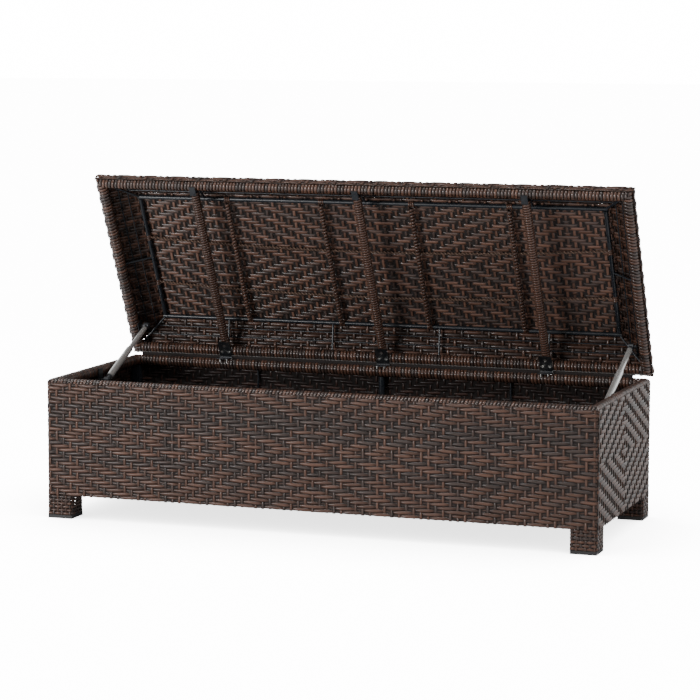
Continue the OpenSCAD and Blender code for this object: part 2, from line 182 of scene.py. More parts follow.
# ---- resin strand: colour, streaks and gloss that follow each strand ----
def buildStrandGroup():
    group, source, target = newGroup(
        "resin strand",
        [("Brown", "NodeSocketColor", (0.1, 0.06, 0.04, 1)),
         ("Grey", "NodeSocketColor", (0.05, 0.05, 0.05, 1)),
         ("Worn", "NodeSocketColor", (0.2, 0.15, 0.12, 1)),
         ("Grey share", "NodeSocketFloat", 0.4),
         ("Edge dirt", "NodeSocketFloat", 0.6),
         ("Hollow dirt", "NodeSocketFloat", 0.6)],
        [("Color", "NodeSocketColor"), ("Roughness", "NodeSocketFloat"), ("Height", "NodeSocketFloat")])
    strand = addNode(group, "ShaderNodeAttribute", attribute_name="strand").outputs["Vector"]
    depthIn = addNode(group, "ShaderNodeAttribute", attribute_name="depth").outputs["Fac"]
    split = addNode(group, "ShaderNodeSeparateXYZ")
    plug(group, strand, split.inputs[0])
    across, tone = split.outputs[1:]
    streak = grain(group, stretched(group, strand, (60, 4.5, 90)), 1.0, 4)
    patches = grain(group, stretched(group, strand, (9, 0.2, 140)), 1.0, 2)
    # each strand is brown or grey by its tone, with patches where it wavers
    pick = maths(group, "ADD", tone, maths(group, "MULTIPLY", maths(group, "SUBTRACT", patches, 0.5), 0.9))
    isGrey = maths(group, "SUBTRACT", source.outputs["Grey share"], pick)
    isGrey = maths(group, "MULTIPLY_ADD", isGrey, 3.0, 0.5, True)
    colour = mixColour(group, isGrey, source.outputs["Brown"], source.outputs["Grey"])
    # light and dark: strand by strand and streak by streak at random, with painted shade at the edges and in
    # the hollows
    shade = spread(group, maths(group, "FRACT", maths(group, "MULTIPLY", tone, 37.0)), 0, 1, 0.72, 1.28)
    dim = maths(group, "MULTIPLY", shade, spread(group, streak, 0.3, 0.7, 0.8, 1.2))
    # painted shade: each strand darkens towards its edges, where it meets its neighbours
    edge = maths(group, "POWER", maths(group, "ABSOLUTE", across), 3.0, clamp=True)
    edgeShade = maths(group, "SUBTRACT", 1.0, maths(group, "MULTIPLY", edge, source.outputs["Edge dirt"]))
    # painted shade: strands darken where they lie low and dive under their neighbours
    hollowShade = maths(group, "MULTIPLY", spread(group, depthIn, -1, 0.7, 1, 0), source.outputs["Hollow dirt"])
    hollowShade = maths(group, "SUBTRACT", 1.0, hollowShade)
    total = maths(group, "MULTIPLY", maths(group, "MULTIPLY", dim, edgeShade), hollowShade)
    grey = addNode(group, "ShaderNodeCombineColor")
    for spot in range(3):
        plug(group, total, grey.inputs[spot])
    colour = mixColour(group, 1.0, colour, grey.outputs[0], "MULTIPLY")
    worn = grain(group, stretched(group, strand, (35, 1.2, 60)), 1.0, 2)
    colour = mixColour(group, spread(group, worn, 0.62, 0.8, 0, 0.55), colour, source.outputs["Worn"])
    plug(group, colour, target.inputs["Color"])
    plug(group, spread(group, streak, 0.3, 0.7, 0.3, 0.5), target.inputs["Roughness"])
    relief = maths(group, "MULTIPLY_ADD", maths(group, "MULTIPLY", across, across), -0.9,
                   maths(group, "MULTIPLY", streak, 0.7))
    plug(group, relief, target.inputs["Height"])
    return group


def plugLook(tree, look, shader, strength, distance):
    # colour, roughness and relief from a group into the shader
    plug(tree, look.outputs["Color"], shader.inputs["Base Color"])
    plug(tree, look.outputs["Roughness"], shader.inputs["Roughness"])
    relief = addNode(tree, "ShaderNodeBump")
    relief.inputs["Strength"].default_value = strength
    relief.inputs["Distance"].default_value = distance
    plug(tree, look.outputs["Height"], relief.inputs["Height"])
    plug(tree, relief.outputs[0], shader.inputs["Normal"])


strandGroup = buildStrandGroup()
strandLooks = {
    "woven strand": {
        "Brown": (0.1, 0.049, 0.033, 1), "Grey": (0.05, 0.033, 0.028, 1), "Worn": (0.17, 0.1, 0.075, 1),
        "Grey share": 0.38, "Edge dirt": 0.75, "bump": 0.5, "coat": 0.25},
    "wrapped strand": {
        "Brown": (0.1, 0.049, 0.033, 1), "Grey": (0.05, 0.033, 0.028, 1), "Worn": (0.17, 0.1, 0.075, 1),
        "Grey share": 0.42, "Edge dirt": 0.8, "bump": 0.45, "coat": 0.8},
    # a lit copy of the strand: painted light makes the lid's flat top come out lighter than the box's sides
    "lid strand": {
        "Brown": (0.155, 0.082, 0.059, 1), "Grey": (0.09, 0.062, 0.053, 1), "Worn": (0.25, 0.16, 0.12, 1),
        "Grey share": 0.36, "Edge dirt": 0.7, "bump": 0.5, "coat": 0.35},
    # a shaded copy of the strand: painted shade makes the side of the strands that faces into the box duller
    # and darker
    "inner side strand": {
        "Brown": (0.055, 0.029, 0.023, 1), "Grey": (0.032, 0.021, 0.019, 1), "Worn": (0.06, 0.045, 0.04, 1),
        "Grey share": 0.4, "Edge dirt": 0.6, "bump": 0.3, "coat": 0.15},
    "cord strand": {
        "Brown": (0.21, 0.13, 0.095, 1), "Grey": (0.13, 0.088, 0.068, 1), "Worn": (0.28, 0.2, 0.15, 1),
        "Grey share": 0.4, "Edge dirt": 0.6, "bump": 0.4, "coat": 0.25},
}


def strandMaterial(name):
    s = strandLooks[name]
    mat, tree, shader = newMaterial(name)
    look = addNode(tree, "ShaderNodeGroup", node_tree=strandGroup)
    # the edge value sets how much painted shade darkens each strand's edges
    for label in ("Brown", "Grey", "Worn", "Grey share", "Edge dirt"):
        look.inputs[label].default_value = s[label]
    # how strongly painted shade darkens strands where they dive under
    look.inputs["Hollow dirt"].default_value = 0.72
    plugLook(tree, look, shader, s["bump"], 0.6 * mm)
    shader.inputs["Specular IOR Level"].default_value = 0.22
    shader.inputs["Coat Weight"].default_value = s["coat"]
    shader.inputs["Coat Roughness"].default_value = 0.12
    return mat


wicker = strandMaterial("woven strand")
wrapping = strandMaterial("wrapped strand")
litLidStrand = strandMaterial("lid strand")
shadedInnerSide = strandMaterial("inner side strand")
cordStrand = strandMaterial("cord strand")


# ---- metals and plastic ----
def buildCoatGroup():
    group, source, target = newGroup(
        "dusty finish",
        [("Base", "NodeSocketColor", (0.02, 0.02, 0.02, 1)),
         ("Dust", "NodeSocketColor", (0.1, 0.1, 0.1, 1)),
         ("Dust amount", "NodeSocketFloat", 0.3),
         ("Grain size", "NodeSocketFloat", 900.0),
         ("Rough low", "NodeSocketFloat", 0.35),
         ("Rough high", "NodeSocketFloat", 0.55)],
        [("Color", "NodeSocketColor"), ("Roughness", "NodeSocketFloat"), ("Height", "NodeSocketFloat")])
    where = addNode(group, "ShaderNodeTexCoord").outputs["Object"]
    clouds = grain(group, where, 38, 5, 0.6)
    fine = addNode(group, "ShaderNodeTexNoise")
    plug(group, where, fine.inputs["Vector"])
    plug(group, source.outputs["Grain size"], fine.inputs["Scale"])
    dust = maths(group, "MULTIPLY", spread(group, clouds, 0.42, 0.75, 0, 1), source.outputs["Dust amount"])
    colour = mixColour(group, dust, source.outputs["Base"], source.outputs["Dust"])
    plug(group, colour, target.inputs["Color"])
    gap = maths(group, "SUBTRACT", source.outputs["Rough high"], source.outputs["Rough low"])
    rough = maths(group, "MULTIPLY_ADD", gap, clouds, source.outputs["Rough low"])
    plug(group, rough, target.inputs["Roughness"])
    plug(group, fine.outputs["Fac"], target.inputs["Height"])
    return group


coatGroup = buildCoatGroup()
coats = {
    "black powder coat": {
        "Base": (0.012, 0.015, 0.02, 1), "Dust": (0.05, 0.052, 0.056, 1), "Dust amount": 0.35,
        "Grain size": 1400, "Rough low": 0.2, "Rough high": 0.36, "metal": 0.0, "bump": 0.2},
    "black plated hinge": {
        "Base": (0.02, 0.022, 0.026, 1), "Dust": (0.09, 0.085, 0.08, 1), "Dust amount": 0.4,
        "Grain size": 900, "Rough low": 0.28, "Rough high": 0.5, "metal": 0.6, "bump": 0.15},
    "satin strut tube": {
        "Base": (0.82, 0.82, 0.8, 1), "Dust": (0.55, 0.54, 0.52, 1), "Dust amount": 0.4,
        "Grain size": 600, "Rough low": 0.22, "Rough high": 0.34, "metal": 0.75, "bump": 0.06},
    "pressed strut end": {
        "Base": (0.06, 0.063, 0.07, 1), "Dust": (0.14, 0.135, 0.13, 1), "Dust amount": 0.4,
        "Grain size": 700, "Rough low": 0.35, "Rough high": 0.55, "metal": 0.5, "bump": 0.15},
    "zinc screw": {
        "Base": (0.62, 0.62, 0.6, 1), "Dust": (0.35, 0.33, 0.3, 1), "Dust amount": 0.4,
        "Grain size": 800, "Rough low": 0.22, "Rough high": 0.4, "metal": 1.0, "bump": 0.1},
    "moulded foot": {
        "Base": (0.011, 0.011, 0.012, 1), "Dust": (0.06, 0.055, 0.05, 1), "Dust amount": 0.4,
        "Grain size": 1800, "Rough low": 0.45, "Rough high": 0.65, "metal": 0.0, "bump": 0.35},
    "shadow between strands": {
        "Base": (0.014, 0.01, 0.009, 1), "Dust": (0.02, 0.016, 0.014, 1), "Dust amount": 0.3,
        "Grain size": 500, "Rough low": 0.8, "Rough high": 1.0, "metal": 0.0, "bump": 0.1},
}


def coatedMaterial(name):
    s = coats[name]
    mat, tree, shader = newMaterial(name)
    look = addNode(tree, "ShaderNodeGroup", node_tree=coatGroup)
    for label in ("Base", "Dust", "Dust amount", "Grain size", "Rough low", "Rough high"):
        look.inputs[label].default_value = s[label]
    plugLook(tree, look, shader, s["bump"], 0.3 * mm)
    shader.inputs["Metallic"].default_value = s["metal"]
    return mat


backing = coatedMaterial("shadow between strands")
slotFinish = {
    "black_steel": coatedMaterial("black powder coat"),
    "hinge_steel": coatedMaterial("black plated hinge"),
    "strut_steel": coatedMaterial("satin strut tube"),
    "strut_end": coatedMaterial("pressed strut end"),
    "screw_steel": coatedMaterial("zinc screw"),
    "black_plastic": coatedMaterial("moulded foot"),
    "wicker": wicker,
}
for part in frame["record"]["subparts"]:
    node = frame["nodes"][part["node"]]
    for place in node.material_slots:
        place.material = slotFinish[part["material_slot"]]
print("materials made")


# ---- weaving ----
def newPiece(name, mesh, finish, body, *nodes):
    piece = bpy.data.objects.new(name, mesh)
    scene.collection.objects.link(piece)
    mesh.materials.append(finish)
    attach(piece, body)
    if nodes:
        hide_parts(*nodes)
    return piece


def outward(mesh):
    # a mapping that mirrors a shape turns it inside out, which the signed volume shows
    bm = bmesh.new()
    bm.from_mesh(mesh)
    if bm.calc_volume(signed=True) < 0:
        bmesh.ops.reverse_faces(bm, faces=bm.faces)
        bm.to_mesh(mesh)
    bm.free()


def pull(mesh, name, size, kind):
    data = np.empty(len(mesh.vertices) * size, dtype=kind)
    source = mesh.attributes[name].data
    source.foreach_get("vector" if size == 3 else "value", data)
    return data.reshape(-1, size) if size > 1 else data


def softened(pattern):
    # a float that has floats beside it stands a little prouder in its middle
    wide = np.pad(pattern, ((1, 1), (0, 0)), mode="edge")
    return 0.7 * pattern + 0.15 * (wide[:-2] + wide[2:])


def between(table, places, crossing, where, row):
    # height of a strand between its crossings, eased from one crossing to the next
    index = np.clip(np.interp(where, places, crossing), 0, len(places) - 1.0001)
    first = index.astype(int)
    ease = (1 - np.cos(np.pi * (index - first))) / 2
    return table[first, row] * (1 - ease) + table[first + 1, row] * ease


# every strand carries a number: its sheet, its direction, its place in the sheet
sheetTag, kindTag = 2000, 1000


def weave(name, sheets, s, finish, body, nodes, turn=None):
    # kind 0 is the rows, kind 1 the uprights
    bm = bmesh.new()
    strand = bm.verts.layers.float_vector.new("strand")
    tag = bm.verts.layers.int.new("tag")
    for number, sheet in enumerate(sheets):
        for kind in (0, 1):
            width = s["weftWidth"] if kind == 0 else s["warpWidth"]
            step = s["weftStep"] if kind == 0 else s["warpStep"]
            for k, (at, low, high) in enumerate(sheet["wefts"] if kind == 0 else sheet["warps"]):
                length = high - low
                halfway = (low + high) / 2
                steps = max(2, round(length / step))
                if kind == 0:
                    spot = Matrix.Translation((halfway, at, 0)) @ Matrix.Diagonal((length, width, 1, 1))
                    cells = (steps, 2)
                else:
                    spot = Matrix.Translation((at, halfway, 0)) @ Matrix.Diagonal((width, length, 1, 1))
                    cells = (2, steps)
                grid = bmesh.ops.create_grid(bm, x_segments=cells[0], y_segments=cells[1], size=0.5,
                                             matrix=spot)
                tone = dice.random()
                for v in grid["verts"]:
                    along, across = (v.co.x, v.co.y - at) if kind == 0 else (v.co.y, v.co.x - at)
                    v[strand] = (along, across / width * 2, tone)
                    v[tag] = number * sheetTag + kind * kindTag + k
    bmesh.ops.solidify(bm, geom=bm.faces[:], thickness=s["thick"])
    bmesh.ops.recalc_face_normals(bm, faces=bm.faces)
    for face in bm.faces:
        face.smooth = True
    mesh = bpy.data.meshes.new(name)
    bm.to_mesh(mesh)
    bm.free()
    co = np.empty(len(mesh.vertices) * 3, dtype=np.float32)
    mesh.vertices.foreach_get("co", co)
    co = co.reshape(-1, 3).astype(float)
    tags = pull(mesh, "tag", 1, np.int32)
    info = pull(mesh, "strand", 3, np.float32)
    middle = (co[:, 2].max() + co[:, 2].min()) / 2
    noise = np.random.default_rng(5)
    depthNow = np.zeros(len(co))
    outerNow = (co[:, 2] > middle).astype(float)
    for number, sheet in enumerate(sheets):
        weftAt = np.array([w[0] for w in sheet["wefts"]])
        warpAt = np.array([w[0] for w in sheet["warps"]])
        rows, columns = len(weftAt), len(warpAt)
        over = np.array([[1.0 if sheet["over"](i, j) else -1.0 for j in range(rows)] for i in range(columns)])
        tables = (softened(over), softened(-over.T))
        for kind in (0, 1):
            base = number * sheetTag + kind * kindTag
            mine = (tags >= base) & (tags < base + kindTag)
            row = tags[mine] - base
            own = co[mine]
            along, side = (own[:, 0], own[:, 1]) if kind == 0 else (own[:, 1], own[:, 0])
            places = warpAt if kind == 0 else weftAt
            heights = tables[kind]
            if kind == 0 and "ends" in sheet:
                # every row comes level before it turns the corner to the next side
                places = np.concatenate(([-sheet["ends"]], places, [sheet["ends"]]))
                heights = np.pad(heights, ((1, 1), (0, 0)), constant_values=0.2)
            centre = (weftAt if kind == 0 else warpAt)[row]
            count = rows if kind == 0 else columns
            crossing = np.arange(len(places), dtype=float)
            height = between(heights, places, crossing, along, row)
            above = between(heights, places, crossing, along, np.minimum(row + 1, count - 1))
            below = between(heights, places, crossing, along, np.maximum(row - 1, 0))
            across = info[mine, 1]
            lift = s["weftLift"] if kind == 0 else s["warpLift"]
            phase = noise.uniform(0, 6.28, (4, count))[:, row]
            waves = [np.sin(along * often + begin) for often, begin in zip(s["waves"], phase)]
            wander = 0.5 * waves[0] + 0.5 * waves[1]
            lean = 0.5 * waves[2] + 0.5 * waves[3]
            full = 1 - s["narrow"] * (1 - height) / 2
            offset = s["squeeze"] * (below - above) / 2 + s["wander"] * wander
            side = centre + (side - centre) * full + (offset if kind == 0 else s["wander"] * wander)
            w = own[:, 2] - middle + lift * height + s["dome"] * (1 - across ** 2) + s["lean"] * lean * across
            # the depth here drives the painted shade on strands that lie low in the weave
            depthNow[mine] = height * np.where(own[:, 2] > middle, 1.0, -1.0)
            u, v = (along, side) if kind == 0 else (side, along)
            co[mine] = np.stack(sheet["place"](u, v, w), axis=-1)
    mesh.vertices.foreach_set("co", co.astype(np.float32).ravel())
    mesh.attributes.remove(mesh.attributes["tag"])
    mesh.attributes.new("depth", "FLOAT", "POINT").data.foreach_set("value", depthNow.astype(np.float32))
    # faces on the inner side of the weave take the shaded copy, painted shade
    if s["inner"] is not None:
        for face in mesh.polygons:
            face.material_index = 0 if outerNow[face.vertices].mean() > 0.4 else 1
    if turn is not None:
        mesh.transform(turn)
    outward(mesh)
    mesh.update()
    print("wove", name, sum(len(face.vertices) - 2 for face in mesh.polygons), "triangles")
    newPiece(name, mesh, finish, body, *nodes)
    if s["inner"] is not None:
        mesh.materials.append(s["inner"])


shadeSheetSettings = {"step": 12 * mm, "thick": 0.2 * mm}


def closeBehind(name, sheet, low, high, body, turn=None):
    # painted shade: a thin dark sheet in the middle of a weave, so that no daylight shows between its strands
    bm = bmesh.new()
    span = (high[0] - low[0], high[1] - low[1])
    centre = ((low[0] + high[0]) / 2, (low[1] + high[1]) / 2, 0)
    spot = Matrix.Translation(centre) @ Matrix.Diagonal((*span, 1, 1))
    steps = [max(1, round(length / shadeSheetSettings["step"])) for length in span]
    bmesh.ops.create_grid(bm, x_segments=steps[0], y_segments=steps[1], size=0.5, matrix=spot)
    bmesh.ops.solidify(bm, geom=bm.faces[:], thickness=shadeSheetSettings["thick"])
    bmesh.ops.recalc_face_normals(bm, faces=bm.faces)
    for v in bm.verts:
        v.co = Vector([float(c) for c in sheet["place"](v.co.x, v.co.y, v.co.z)])
    mesh = bpy.data.meshes.new(name)
    bm.to_mesh(mesh)
    bm.free()
    if turn is not None:
        mesh.transform(turn)
    outward(mesh)
    newPiece(name, mesh, backing, body)


weaveSettings = {
    "pitch": 16.49 * mm,        # between uprights
    "row": 7.7 * mm,            # between rows
    "rows": 33,
    "weftWidth": 8.0 * mm,
    "warpWidth": 6.6 * mm,
    "weftStep": 5.5 * mm,
    "warpStep": 3.85 * mm,
    "weftLift": 1.3 * mm,
    "warpLift": 1.3 * mm,
    "thick": 1.0 * mm,
    "dome": 0.7 * mm,           # how much the middle of a strand stands above its edges
    "narrow": 0.2,              # how much thinner a strand is where it dives under
    "squeeze": 0.7 * mm,        # how far a strand moves into the room its neighbours leave
    "wander": 0.22 * mm,
    "lean": 0.12 * mm,
    "waves": (31, 83, 47, 131),
    "sink": 1.5 * mm,           # how far the middle of the weave lies inside the face
    "corner": 7 * mm,
    "endIn": 7.5 * mm,          # last upright from the end of the side
    # shaded copy of the strand for faces inside the box, painted shade
    "inner": shadedInnerSide,
}


def twill(m, r):
    return (m - r) % 4 < 2


# ---- box sides, bent round the corners and over the rim tube ----
def sideSheet(halfLength, face, over, columns):
    s = weaveSettings
    corner, sink = s["corner"], s["sink"]
    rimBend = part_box("rim_wrap_front")[1].z - tubeR
    bendR = tubeR - sink
    straight = halfLength - corner
    reach = straight + (corner - sink) * math.pi / 4 * corner / (corner - sink)
    rows = s["rows"]
    last = halfLength - s["endIn"]
    wefts = [(sideFoot + s["row"] * (j + 0.5), -reach, reach) for j in range(rows)]
    top = sideFoot + s["row"] * rows
    warps = [(i * s["pitch"] if abs(i) < columns else math.copysign(last, i), sideFoot - 0.5 * mm, top)
             for i in range(-columns, columns + 1)]

    def place(u, v, w):
        spare = np.maximum(np.abs(u) - straight, 0)
        turnA = spare / corner
        sign = np.sign(u)
        bend = np.maximum(v - rimBend, 0) / bendR
        inward = sink - w * np.cos(bend) + bendR * (1 - np.cos(bend))
        along = sign * (np.minimum(np.abs(u), straight) + (corner - inward) * np.sin(turnA))
        back = corner - (corner - inward) * np.cos(turnA)
        back = np.where(turnA > 0, back, inward)
        z = np.minimum(v, rimBend) + (bendR + w) * np.sin(bend)
        return face(along, back, z)

    return {"wefts": wefts, "warps": warps, "place": place, "ends": reach,
            "over": lambda i, j: over(i - columns, j)}


# the twill turns back at the middle row and the middle upright, on the long sides at two more uprights
middleRow, foldAt = 17, 20


def longOver(i, j):
    m = abs(i) if abs(i) <= foldAt else 2 * foldAt - abs(i)
    return twill(m, abs(j - middleRow))


def endOver(i, j):
    return (abs(i) + abs(j - middleRow)) % 4 < 2


sideSettings = {
    "front_weave": (halfW, lambda a, b, z: (a, frontY + b, z), longOver, 38, "front_panel"),
    "rear_weave": (halfW, lambda a, b, z: (-a, rearY - b, z), longOver, 38, "rear_panel"),
    "left_weave": (depth / 2, lambda a, b, z: (-halfW + b, middleY - a, z), endOver, 14, "left_panel"),
    "right_weave": (depth / 2, lambda a, b, z: (halfW - b, middleY + a, z), endOver, 14, "right_panel"),
}
# the two ends are woven closer, so they get no dark sheet of painted shade
endSettings = dict(weaveSettings, narrow=0.06, squeeze=0.3 * mm, weftWidth=8.3 * mm)
for name, (halfLength, face, over, columns, node) in sideSettings.items():
    sheet = sideSheet(halfLength, face, over, columns)
    weave(name, [sheet], weaveSettings if over is longOver else endSettings, wicker, "box", (node,))
    if over is longOver:
        edge = halfLength - weaveSettings["corner"]
        closeBehind(name.replace("weave", "backing"), sheet, (-edge, sideFoot + 1 * mm),
                    (edge, rimTop - tubeR), "box")

# ---- floor of the box ----
floorLow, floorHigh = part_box("floor_panel")
floorSettings = dict(weaveSettings, pitch=26 * mm, row=12.2 * mm, weftWidth=11.4 * mm, warpWidth=9 * mm,
                     weftStep=13 * mm, warpStep=6.1 * mm, weftLift=0.8 * mm, warpLift=0.9 * mm)
floorNotch = 21 * mm        # the posts stand in the floor's corners


def floorSheet():
    s = floorSettings
    wide, deep = (floorHigh.x - floorLow.x) / 2, (floorHigh.y - floorLow.y) / 2
    rows, columns = int(deep / s["row"]), int(wide / s["pitch"])

    def shortened(number, pitch, half, otherHalf, spare):
        at = number * pitch
        reach = half - floorNotch if abs(at) > otherHalf - floorNotch - spare else half
        return at, -reach, reach

    wefts = [shortened(j, s["row"], wide, deep, 6 * mm) for j in range(-rows, rows + 1)]
    warps = [shortened(i, s["pitch"], deep, wide, 5 * mm) for i in range(-columns, columns + 1)]
    level = (floorLow.z + floorHigh.z) / 2
    return {"wefts": wefts, "warps": warps, "over": lambda i, j: (i + j) % 2 == 0,
            "place": lambda u, v, w: (u, middleY + v, level + w)}


ground = floorSheet()
weave("floor_weave", [ground], floorSettings, wicker, "box", ("floor_panel",))
groundHalf = ((floorHigh.x - floorLow.x) / 2 - 1 * mm, (floorHigh.y - floorLow.y) / 2 - floorNotch)
closeBehind("floor_backing", ground, (-groundHalf[0], -groundHalf[1]), groundHalf, "box")

# ---- legs ----
legSettings = dict(weaveSettings, inner=None, row=7.4 * mm, weftWidth=6.8 * mm, warpWidth=5.2 * mm,
                   corner=6 * mm, weftStep=4 * mm, warpStep=3.7 * mm)
legSize = 60 * mm
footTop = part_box("leg_wraps")[0].z


def legSheets():
    s = legSettings
    half, corner, sink = legSize / 2, s["corner"], s["sink"]
    straight = half - corner
    reach = straight + corner * math.pi / 4
    rows = 6
    pitch = (sideFoot - footTop) / rows
    wefts = [(footTop + pitch * (j + 0.5), -reach, reach) for j in range(rows)]
    warps = [(u * mm, footTop + 0.3 * mm, sideFoot) for u in (-25, -15, -5, 5, 15, 25)]
    sheets = []
    for sx in (-1, 1):
        for sy in (-1, 1):
            cx = sx * (halfW - half)
            cy = middleY + sy * (depth / 2 - half)
            for quarter in range(4):
                c, d = math.cos(quarter * math.pi / 2), math.sin(quarter * math.pi / 2)

                def place(u, v, w, c=c, d=d, cx=cx, cy=cy):
                    turnA = np.maximum(np.abs(u) - straight, 0) / corner
                    inward = sink - w
                    along = np.sign(u) * (np.minimum(np.abs(u), straight) + (corner - inward) * np.sin(turnA))
                    back = np.where(turnA > 0, corner - (corner - inward) * np.cos(turnA), inward) - half
                    return cx + c * along - d * back, cy + d * along + c * back, v

                sheets.append({"wefts": wefts, "warps": warps, "place": place,
                               "over": lambda i, j: (i + j) % 2 == 0})
    return sheets


weave("leg_weave", legSheets(), legSettings, wicker, "box", ("leg_wraps",))
print("box woven")

# ---- lid, drawn closed and then turned ----
lidPlan = {
    "under": 319.4 * mm,        # height of the closed lid's underside
    "edge": 28.4 * mm,          # outer edge above the underside
    "top": 67 * mm,             # flat top above the underside
    "border": 72 * mm,          # width of the sloping border
    "skirt": 20 * mm,           # how far the weave runs down the outer edge
    "round": 6 * mm,
    "lap": 2.5 * mm,            # how far strands run past the mitre
    "sink": -0.6 * mm,          # how far the middle of the border's weave lies inside its face
    "fieldSink": 2.3 * mm,      # the same for the flat top
}
slopeRise = lidPlan["top"] - lidPlan["edge"]
slopeRun = lidPlan["border"] - 1 * mm
slopeLong = math.hypot(slopeRise, slopeRun)
slopeCos, slopeSin = slopeRun / slopeLong, slopeRise / slopeLong
lidSettings = dict(weaveSettings, inner=None, weftWidth=8.8 * mm, warpWidth=7.4 * mm, narrow=0.05,
                   squeeze=0.2 * mm, weftLift=1.2 * mm, wander=0.12 * mm)
lidRow = weaveSettings["row"]
lidPitch = weaveSettings["pitch"]


# the lid's twill comes to a point at two uprights, and turns back between them
leftPoint, rightPoint, turnBack = -23, 28, 2.5


def lidOver(i, j):
    m = abs(i - leftPoint) if i < turnBack else abs(i - rightPoint) - 1
    return (m + abs(j)) % 4 < 2


def fieldSheet():
    wide, deep = halfW - lidPlan["border"], depth / 2 - lidPlan["border"]
    rows, columns = math.ceil(deep / lidRow), int(wide / lidPitch)
    level = lidPlan["under"] + lidPlan["top"] - lidPlan["fieldSink"]
    lap = 5 * mm
    wefts = [(j * lidRow, -wide - lap, wide + lap) for j in range(-rows, rows + 1)]
    warps = [(i * lidPitch, -deep - lap, deep + lap) for i in range(-columns, columns + 1)]
    return {"wefts": wefts, "warps": warps, "over": lambda i, j: lidOver(i - columns, j - rows),
            "place": lambda u, v, w: (u, middleY + v, level + w)}


def borderShape(t, w):
    # t runs from the foot of the skirt, up round the edge and along the slope; gives distance in and height
    sink = lidPlan["sink"]
    r = lidPlan["round"]
    bendAngle = math.pi / 2 - math.atan2(slopeSin, slopeCos)
    tangent = r * math.tan(bendAngle / 2)
    arc = r * bendAngle
    upright = lidPlan["skirt"] - tangent
    turnA = np.clip((t - upright) / r, 0, bendAngle)
    run = np.maximum(t - upright - arc, 0)
    depthIn = r - (r - sink + w) * np.cos(turnA) + run * slopeCos
    height = (lidPlan["edge"] - lidPlan["skirt"] + np.minimum(t, upright)
              + (r - sink + w) * np.sin(turnA) + run * slopeSin)
    return depthIn + 0.4 * mm, height


def borderLength():
    r = lidPlan["round"]
    bendAngle = math.pi / 2 - math.atan2(slopeSin, slopeCos)
    return lidPlan["skirt"] - 2 * r * math.tan(bendAngle / 2) + r * bendAngle + slopeLong


def borderSheets():
    whole = borderLength()
    count = round(whole / lidRow)
    rowStep = whole / count
    bands = round((whole - lidPlan["skirt"]) / lidPitch)
    sheets = []
    deep = depth / 2 - lidPlan["border"]
    flatRow, columns = math.ceil(deep / lidRow), int((halfW - lidPlan["border"]) / lidPitch)

    def insetAt(t):
        return float(borderShape(np.array(t), np.array(0.0))[0])

    def limitAt(room):
        # how far up the border a strand may run before it meets the mitre
        ts = np.linspace(0, whole, 200)
        return float(ts[borderShape(ts, ts * 0)[0] <= room].max())

    for sy in (-1, 1):
        wefts = []
        for k in range(count):
            t = rowStep * (k + 0.5)
            half = halfW - insetAt(t) + lidPlan["lap"]
            wefts.append((t, -half, half))
        warps = []
        for i in range(-columns - 4, columns + 5):
            x = i * lidPitch
            warps.append((x, 0.4 * mm, min(whole, limitAt(halfW - abs(x)))))

        def place(u, v, w, sy=sy):
            inset, height = borderShape(v, w)
            return u, middleY + sy * (depth / 2 - inset), lidPlan["under"] + height

        total = len(warps) // 2
        sheets.append({"wefts": wefts, "warps": warps, "place": place,
                       "over": lambda i, j, total=total: lidOver(i - total, flatRow + count - j)})
    for sx in (-1, 1):
        bandAt = [whole - (b + 0.5) * lidPitch for b in range(bands)][::-1]
        bandAt = [7 * mm] + [t for t in bandAt if t > 16 * mm]
        warps = []
        for t in bandAt:
            half = depth / 2 - insetAt(t) + lidPlan["lap"]
            warps.append((t, -half, half))
        outer = int((depth / 2 - 4 * mm) / lidRow)
        wefts = []
        for j in range(-outer, outer + 1):
            y = j * lidRow
            wefts.append((y, 0.4 * mm, min(whole, limitAt(depth / 2 - abs(y)))))

        def place(u, v, w, sx=sx):
            inset, height = borderShape(u, w)
            return sx * (halfW - inset), middleY + v, lidPlan["under"] + height

        def over(i, j, sx=sx, first=columns + len(bandAt), outer=outer):
            return lidOver(sx * (first - i), j - outer)

        sheets.append({"wefts": wefts, "warps": warps, "place": place, "over": over})
    return sheets


field = fieldSheet()
# the flat top takes the lit copy and the border the plain strand, so painted light sets the top above the
# border
weave("lid_field_weave", [field], lidSettings, litLidStrand, "lid", ("lid_field",), lidTurn)
fieldHalf = (halfW - lidPlan["border"] + 1.5 * mm, depth / 2 - lidPlan["border"] + 1.5 * mm)
closeBehind("lid_backing", field, (-fieldHalf[0], -fieldHalf[1]), fieldHalf, "lid", lidTurn)
weave("lid_border_weave", borderSheets(), lidSettings, wicker, "lid",
      ("lid_border_front", "lid_border_rear", "lid_border_left", "lid_border_right"), lidTurn)
print("lid woven")


# ---- wrapped tubes ----
profileSide = (-1, -0.6, 0, 0.6, 1)


def bandProfile(bm, width, inner, outer):
    half = width / 2
    shoulder = half * 0.72
    crown = outer + 0.12 * mm
    points = [(-half, inner), (-shoulder, outer), (0, crown), (shoulder, outer), (half, inner)]
    corners = [bm.verts.new((x, r, 0)) for x, r in points]
    sides = [bm.edges.new((corners[k], corners[(k + 1) % 5])) for k in range(5)]
    return corners, sides


def wrapTurn(bm, s, start, sweep):
    # one turn of strand round a tube that runs along X, from one angle round to another
    corners, sides = bandProfile(bm, s["width"], s["inner"], s["outer"])
    bmesh.ops.rotate(bm, verts=corners, cent=(0, 0, 0), matrix=Matrix.Rotation(start, 3, "X"))
    steps = max(4, round(abs(sweep) / math.radians(s["stepAngle"])))
    creep = s["pitch"] * sweep / (2 * math.pi)
    bmesh.ops.spin(bm, geom=corners + sides, cent=(0, 0, 0), axis=(1, 0, 0), angle=sweep, steps=steps,
                   dvec=(creep / steps, 0, 0), use_merge=False, use_duplicate=False)
    bmesh.ops.holes_fill(bm, edges=bm.edges, sides=5)


